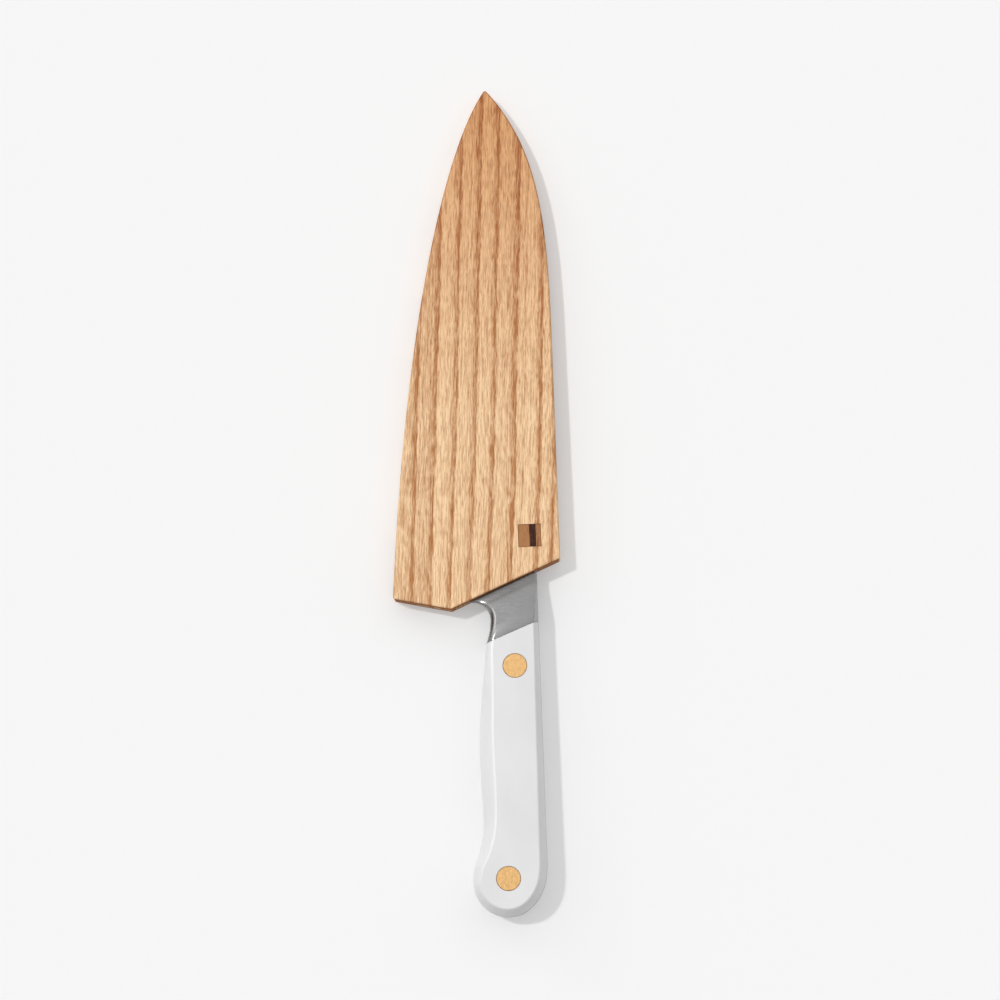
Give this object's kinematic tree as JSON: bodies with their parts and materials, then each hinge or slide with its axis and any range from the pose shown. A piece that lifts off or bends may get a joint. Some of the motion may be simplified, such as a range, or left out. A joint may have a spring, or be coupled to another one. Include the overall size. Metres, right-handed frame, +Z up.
{
  "type": "chef knife sheath",
  "caption": "Laminated wooden blade sheath with inset magnets and a slanted mouth, closed round a full-tang chef's knife with a half bolster and riveted handle that draws straight out.",
  "frame": {"origin": "under the middle of the sheathed knife, on the surface that the handle's butt rests on", "axes": "+Y along the blade to the tip, +X from the cutting edge to the spine, +Z up out of the front face"},
  "size_m": [0.0692, 0.3456, 0.0199],
  "materials": {
    "ash": "oiled, fine open grain",
    "steel": "satin",
    "white_polymer": "semi-gloss",
    "brass": "ground flush, fine satin",
    "nickel": "plated"
  },
  "bodies": {
    "sheath": {"sheath_front_leaf": "ash", "sheath_back_leaf": "ash", "edge_core_strip": "ash", "spine_core_strip": "ash", "magnet_front_1": "nickel", "magnet_front_2": "nickel", "magnet_front_3": "nickel", "magnet_back_1": "nickel", "magnet_back_2": "nickel", "magnet_back_3": "nickel"},
    "knife": {"knife_forging": "steel", "handle_scale_front": "white_polymer", "handle_scale_back": "white_polymer", "rivet_socket_front": "brass", "rivet_socket_rear": "brass", "rivet_pin_front": "brass", "rivet_pin_rear": "brass"}
  },
  "joints": [
    {"name": "knife_draw", "type": "slide", "parent": "sheath", "child": "knife", "axis": [0, -1, 0], "range_m": [0, 0.215]}
  ]
}
